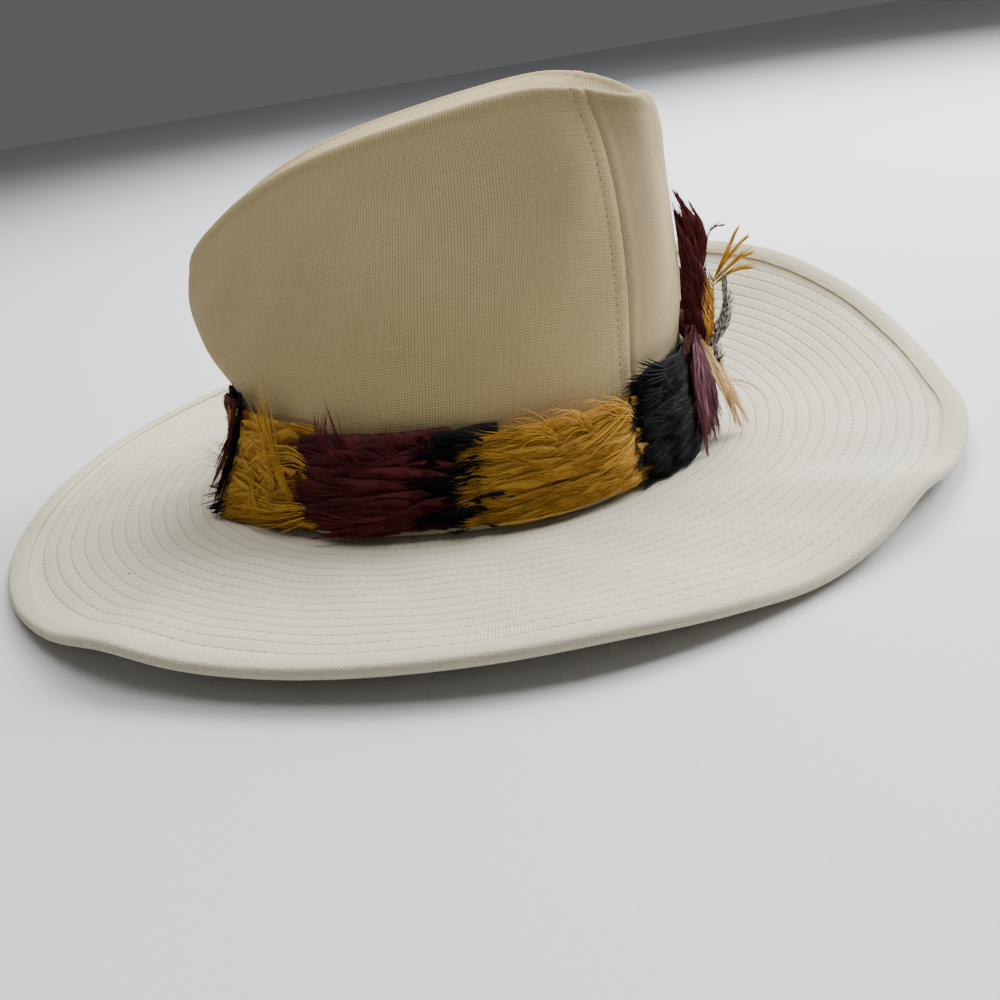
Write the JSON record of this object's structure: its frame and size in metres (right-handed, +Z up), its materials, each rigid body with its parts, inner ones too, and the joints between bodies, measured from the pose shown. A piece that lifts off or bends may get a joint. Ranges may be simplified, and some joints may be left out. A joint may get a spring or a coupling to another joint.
{
  "type": "feathered hat",
  "caption": "Wide-brimmed cream linen hat with a tall creased seamed crown, a stitched bound brim and a band of coloured feathers.",
  "frame": {"origin": "under the middle of the hat's overall box, on the surface that the brim rests on", "axes": "+X to the seamed front of the crown, -Y to the side with the mustard and burgundy feathers, +Z up"},
  "size_m": [0.384, 0.3626, 0.1428],
  "materials": {
    "linen_front": "cream plain-weave linen cut on the bias",
    "linen_side": "cream plain-weave linen",
    "linen_brim": "cream linen with rows of stitching",
    "linen_binding": "cream linen folded over the brim's edge",
    "tape": "cream cotton tape",
    "feather_burgundy": "burgundy dyed feather, slightly glossy",
    "feather_mustard": "mustard dyed feather, slightly glossy",
    "feather_black": "black dyed feather, slightly glossy",
    "feather_mauve": "mauve dyed feather, slightly glossy",
    "feather_tan": "tan dyed feather, slightly glossy"
  },
  "bodies": {
    "root": {"crown_front": "linen_front", "crown_side_far": "linen_side", "crown_side_near": "linen_side", "brim": "linen_brim", "brim_binding": "linen_binding", "band_tape": "tape", "feathers_black_front": "feather_black", "feathers_mustard_near": "feather_mustard", "feathers_black_near": "feather_black", "feathers_burgundy_near": "feather_burgundy", "feathers_mustard_back": "feather_mustard", "feathers_burgundy_back": "feather_burgundy", "feathers_black_back": "feather_black", "feathers_mustard_far": "feather_mustard", "feathers_burgundy_far": "feather_burgundy", "feathers_black_far": "feather_black", "feathers_mustard_side": "feather_mustard", "feathers_burgundy_front": "feather_burgundy", "feathers_burgundy_plume": "feather_burgundy", "feather_mauve": "feather_mauve", "feather_tan": "feather_tan"}
  },
  "joints": []
}
